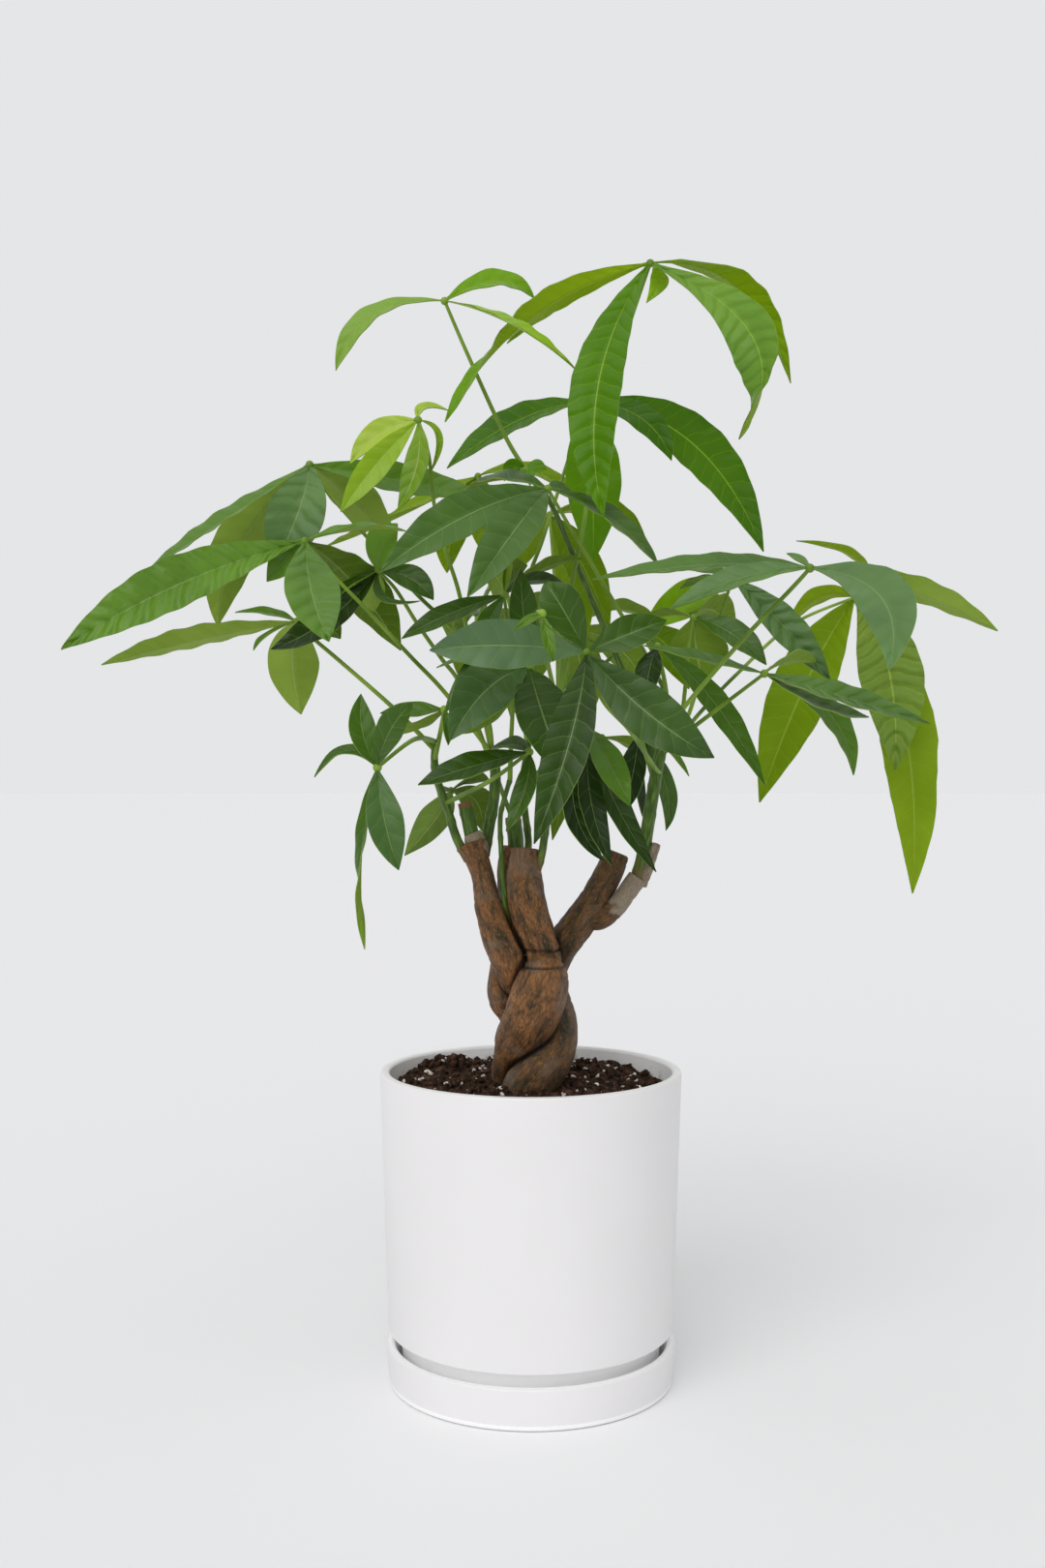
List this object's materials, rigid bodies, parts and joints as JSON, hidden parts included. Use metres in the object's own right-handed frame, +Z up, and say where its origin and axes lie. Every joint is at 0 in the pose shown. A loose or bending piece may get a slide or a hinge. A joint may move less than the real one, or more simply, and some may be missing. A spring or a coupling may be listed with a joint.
{
  "type": "potted money tree",
  "caption": "Potted money tree with a braided trunk and palmate leaves, in a white cylinder pot standing in a shallow saucer.",
  "frame": {"origin": "middle of the saucer's underside", "axes": "+Z up, +X to the right and +Y away, as the plant is seen from the front"},
  "size_m": [0.535, 0.397, 0.6569],
  "materials": {
    "ceramic": "satin white glaze",
    "soil": "damp potting mix",
    "bark": "striated bark",
    "shoot": "green, smooth",
    "leaf_mature": "waxy dark green",
    "leaf_fresh": "waxy fresh green",
    "leaf_young": "soft yellow green",
    "leaf_backlit": "translucent green"
  },
  "bodies": {
    "root": {"saucer": "ceramic", "pot": "ceramic", "soil": "soil", "trunk_centre": "bark", "trunk_right": "bark", "trunk_left": "bark", "trunk_back": "bark", "shoot_left": "shoot", "shoot_left_stub": "shoot", "shoot_middle": "shoot", "shoot_front": "shoot", "shoot_back": "shoot", "shoot_rear": "shoot", "shoot_centre": "shoot", "shoot_right": "shoot", "shoot_top": "shoot", "leaf_top_right": "leaf_fresh", "leaf_top_left": "leaf_fresh", "leaf_young": "leaf_young", "leaf_upper_back": "leaf_fresh", "leaf_centre_upper": "leaf_mature", "leaf_tuft": "leaf_fresh", "leaf_left_upper": "leaf_mature", "leaf_left_middle": "leaf_mature", "leaf_left_low": "leaf_mature", "leaf_left_inner": "leaf_mature", "leaf_star": "leaf_mature", "leaf_front_inner": "leaf_mature", "leaf_centre_low": "leaf_mature", "leaf_front_left": "leaf_mature", "leaf_left_small": "leaf_mature", "leaf_left_hanging": "leaf_mature", "leaf_right_inner": "leaf_mature", "leaf_right_dark": "leaf_mature", "leaf_right_middle": "leaf_mature", "leaf_right_veined": "leaf_mature", "leaf_right_front": "leaf_mature", "leaf_right_back": "leaf_backlit", "leaf_right_oval": "leaf_fresh", "leaf_low_right": "leaf_mature", "leaf_low_right_back": "leaf_mature", "leaf_centre_small": "leaf_mature", "leaf_new_shoot": "leaf_young", "leaf_back_left": "leaf_backlit", "leaf_back_middle": "leaf_backlit", "leaf_rear_left": "leaf_mature", "leaf_rear_middle": "leaf_mature", "leaf_rear_low": "leaf_mature"}
  },
  "joints": []
}
